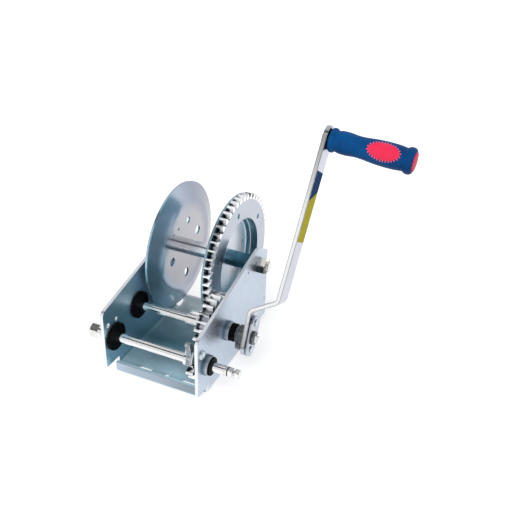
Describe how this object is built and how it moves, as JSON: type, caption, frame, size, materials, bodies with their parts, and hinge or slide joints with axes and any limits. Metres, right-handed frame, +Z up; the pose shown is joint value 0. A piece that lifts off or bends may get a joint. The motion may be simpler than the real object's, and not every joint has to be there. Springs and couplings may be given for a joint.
{
  "type": "two-speed hand winch",
  "caption": "Hand-cranked drum winch in a folded sheet frame, with an open reduction gear train, a sprung pawl and a cranked arm with a turning grip.",
  "frame": {"origin": "middle of the underside of the base", "axes": "+X along the shafts towards the crank, +Y from the front lip to the rear, +Z up from the base"},
  "size_m": [0.3233, 0.2447, 0.2895],
  "materials": {
    "zinc_sheet": "bright zinc plate",
    "zinc_parts": "bright zinc plate",
    "bright_steel": "polished and plated",
    "dark_steel": "dark, satin",
    "spring_wire": "drawn wire",
    "black_nylon": "moulded, satin",
    "blue_rubber": "moulded, soft",
    "red_rubber": "moulded, soft",
    "navy_film": "plain film",
    "yellow_film": "plain film"
  },
  "bodies": {
    "frame": {"frame": "zinc_sheet", "bush_front_left": "black_nylon", "bush_front_right": "black_nylon", "bush_middle_left": "black_nylon", "bush_middle_right": "black_nylon", "bush_washers": "zinc_sheet", "drum_bolt": "bright_steel", "drum_nut": "bright_steel", "pawl_pin": "zinc_parts", "pawl_spring": "spring_wire", "spring_anchor": "zinc_parts"},
    "drum": {"drum_tube": "bright_steel", "drum_flange_left": "zinc_sheet", "drum_flange_right": "zinc_sheet", "ring_gear": "zinc_parts", "gear_rivets": "zinc_parts"},
    "middle": {"middle_shaft": "bright_steel", "middle_pinion": "zinc_parts", "middle_gear": "zinc_parts", "middle_sleeve": "bright_steel", "middle_ring": "zinc_parts", "crank_boss": "dark_steel", "crank_arm": "zinc_sheet", "crank_clip": "zinc_sheet", "clip_rivets": "zinc_parts", "crank_ring": "dark_steel", "grip_spindle": "bright_steel", "grip_washer": "black_nylon"},
    "front": {"front_shaft": "bright_steel", "front_pinion": "zinc_parts", "front_collar": "bright_steel", "front_spacer": "bright_steel", "front_nut": "bright_steel"},
    "handgrip": {"grip": "blue_rubber", "grip_insert_front": "red_rubber", "grip_insert_back": "red_rubber", "grip_cap": "red_rubber"},
    "pawl": {"pawl": "dark_steel"}
  },
  "joints": [
    {"name": "drum_spin", "type": "hinge", "parent": "frame", "child": "drum", "pos_m": [0, 0.06673, 0.10108], "axis": [1, 0, 0], "continuous": true},
    {"name": "middle_spin", "type": "hinge", "parent": "frame", "child": "middle", "pos_m": [0, -0.02008, 0.05817], "axis": [1, 0, 0], "continuous": true},
    {"name": "front_spin", "type": "hinge", "parent": "frame", "child": "front", "pos_m": [0, -0.0725, 0.0453], "axis": [1, 0, 0], "continuous": true},
    {"name": "grip_spin", "type": "hinge", "parent": "middle", "child": "handgrip", "pos_m": [0.13597, 0.07373, 0.27496], "axis": [0.9971, -0.0305, -0.0704], "continuous": true},
    {"name": "pawl_swing", "type": "hinge", "parent": "frame", "child": "pawl", "pos_m": [0, -0.0845, 0.0675], "axis": [-1, 0, 0], "range_deg": [0, 25], "stiffness_Nm_per_rad": 0.05, "springref_deg": -28.65}
  ],
  "couplings": [
    {"joint": "middle_spin", "follows": "drum_spin", "ratio": -5.1},
    {"joint": "front_spin", "follows": "drum_spin", "ratio": 12.24}
  ]
}
